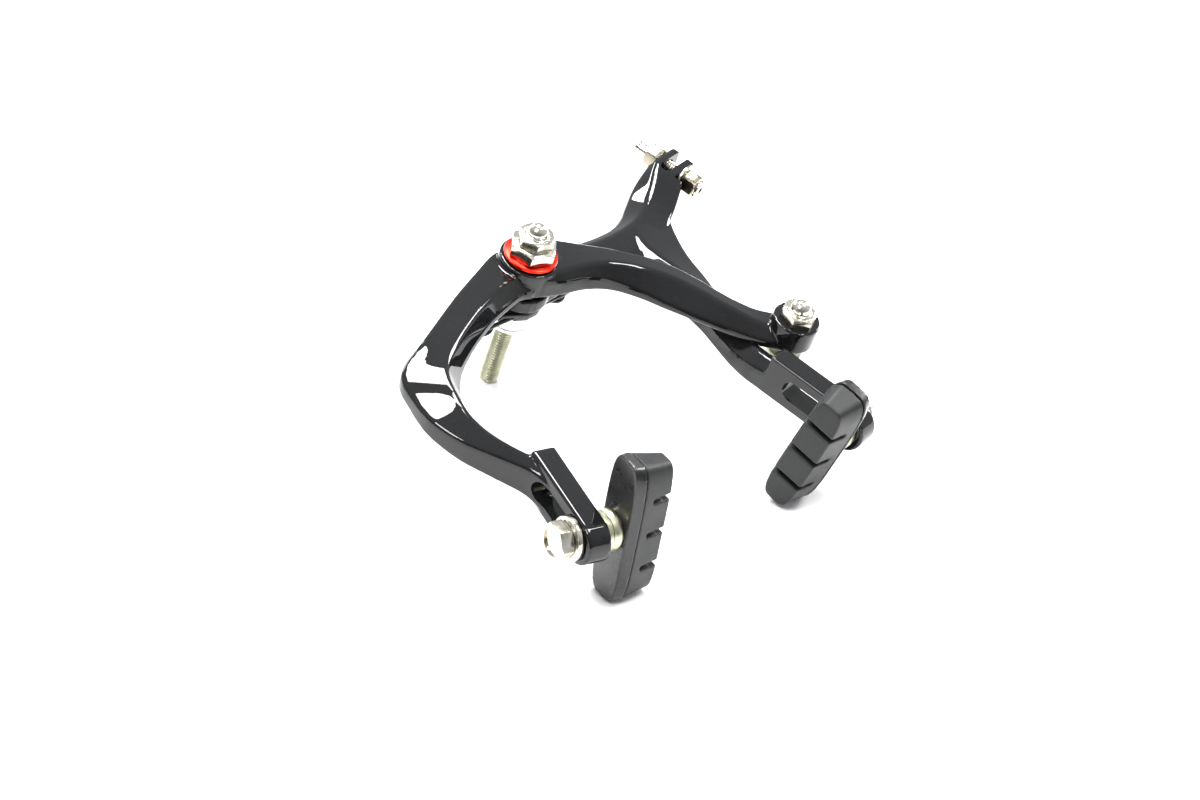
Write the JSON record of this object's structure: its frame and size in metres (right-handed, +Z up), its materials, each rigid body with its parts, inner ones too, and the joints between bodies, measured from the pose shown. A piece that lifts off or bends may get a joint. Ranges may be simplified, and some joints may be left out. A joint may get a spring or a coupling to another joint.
{
  "type": "side-pull rim brake caliper",
  "caption": "Single-pivot side-pull bicycle rim brake caliper: two black forged arms on a centre bolt, slotted shoe tabs, grooved pads, cable anchor and barrel adjuster.",
  "frame": {"origin": "middle of the overall box at the level of the surface it lies on, under the bolt's tail and both pads' rear ends", "axes": "+Z up from the surface it lies on, within 11 degrees of the pivot bolt's front; +Y from the pads towards the pivot; +X to the cable side"},
  "size_m": [0.1624, 0.1366, 0.0615],
  "materials": {
    "gloss_black_arms": "gloss black over forged aluminium",
    "nickel_nuts": "bright nickel plate",
    "red_ring": "red anodised",
    "zinc_steel": "yellowish zinc plate",
    "dark_steel": "dark plated steel",
    "silver_spacer": "turned silver",
    "spring_wire": "black coated spring wire",
    "satin_holders": "satin black",
    "pad_rubber": "matte black rubber"
  },
  "bodies": {
    "centre_stack": {"centre_bolt": "zinc_steel", "front_ring": "red_ring", "pivot_adjusting_nut": "nickel_nuts", "pivot_cap_nut": "nickel_nuts", "arm_washer": "zinc_steel", "rear_washer": "zinc_steel", "crown_spacer": "silver_spacer", "spring_holder": "satin_holders", "return_spring": "spring_wire"},
    "front_arm": {"c_arm": "gloss_black_arms"},
    "rear_arm": {"y_arm": "gloss_black_arms", "adjuster_washer": "nickel_nuts", "adjuster_locknut": "dark_steel"},
    "cable_anchor": {"anchor_bolt": "zinc_steel", "anchor_clamp_plate": "nickel_nuts", "anchor_nut": "nickel_nuts"},
    "adjusting_nut": {"adjuster_nut": "dark_steel"},
    "barrel": {"adjuster_barrel": "nickel_nuts"},
    "left_clamp": {"left_ball_washer": "zinc_steel", "left_cup_washer": "zinc_steel", "left_outer_washer": "nickel_nuts", "left_shoe_nut": "nickel_nuts"},
    "left_shoe": {"left_pad": "pad_rubber", "left_pad_holder": "satin_holders"},
    "right_clamp": {"right_ball_washer": "zinc_steel", "right_cup_washer": "zinc_steel", "right_outer_washer": "nickel_nuts", "right_shoe_nut": "nickel_nuts"},
    "right_shoe": {"right_pad": "pad_rubber", "right_pad_holder": "satin_holders"}
  },
  "joints": [
    {"name": "front_arm_pivot", "type": "hinge", "parent": "centre_stack", "child": "front_arm", "pos_m": [-0.00832, 0.03646, 0.04911], "axis": [-0.0098, -0.1894, 0.9819], "range_deg": [0, 11], "stiffness_Nm_per_rad": 1.5, "springref_deg": -8.59, "deforming": ["return_spring"]},
    {"name": "rear_arm_pivot", "type": "hinge", "parent": "centre_stack", "child": "rear_arm", "pos_m": [-0.00832, 0.03646, 0.04911], "axis": [-0.0098, -0.1894, 0.9819], "range_deg": [-11, 0], "stiffness_Nm_per_rad": 1.5, "springref_deg": 8.59},
    {"name": "left_shoe_height", "type": "slide", "parent": "front_arm", "child": "left_clamp", "axis": [0.2571, 0.9484, 0.1855], "range_m": [-0.001, 0.012]},
    {"name": "left_shoe_turn", "type": "hinge", "parent": "left_clamp", "child": "left_shoe", "pos_m": [-0.03369, -0.05572, 0.02191], "axis": [0.9663, -0.2543, -0.0394], "range_deg": [-15, 15]},
    {"name": "right_shoe_height", "type": "slide", "parent": "rear_arm", "child": "right_clamp", "axis": [-0.1288, 0.974, 0.1866], "range_m": [-0.001, 0.012]},
    {"name": "right_shoe_turn", "type": "hinge", "parent": "right_clamp", "child": "right_shoe", "pos_m": [0.00451, -0.05825, 0.0218], "axis": [0.9916, 0.1246, 0.0339], "range_deg": [-15, 15]},
    {"name": "anchor_turn", "type": "hinge", "parent": "front_arm", "child": "cable_anchor", "pos_m": [0.04923, -0.02237, 0.03833], "axis": [-0.0098, -0.1894, 0.9819], "range_deg": [-25, 25]},
    {"name": "adjuster_turn", "type": "hinge", "parent": "rear_arm", "child": "adjusting_nut", "pos_m": [0.0754, 0.05411, 0.04265], "axis": [-0.1288, 0.974, 0.1866], "range_deg": [0, 1804]},
    {"name": "barrel_travel", "type": "slide", "parent": "rear_arm", "child": "barrel", "axis": [-0.1288, 0.974, 0.1866], "range_m": [0, 0.004]}
  ],
  "couplings": [
    {"joint": "rear_arm_pivot", "follows": "front_arm_pivot", "ratio": -1},
    {"joint": "adjuster_turn", "follows": "barrel_travel", "rad_per_m": 7854}
  ]
}
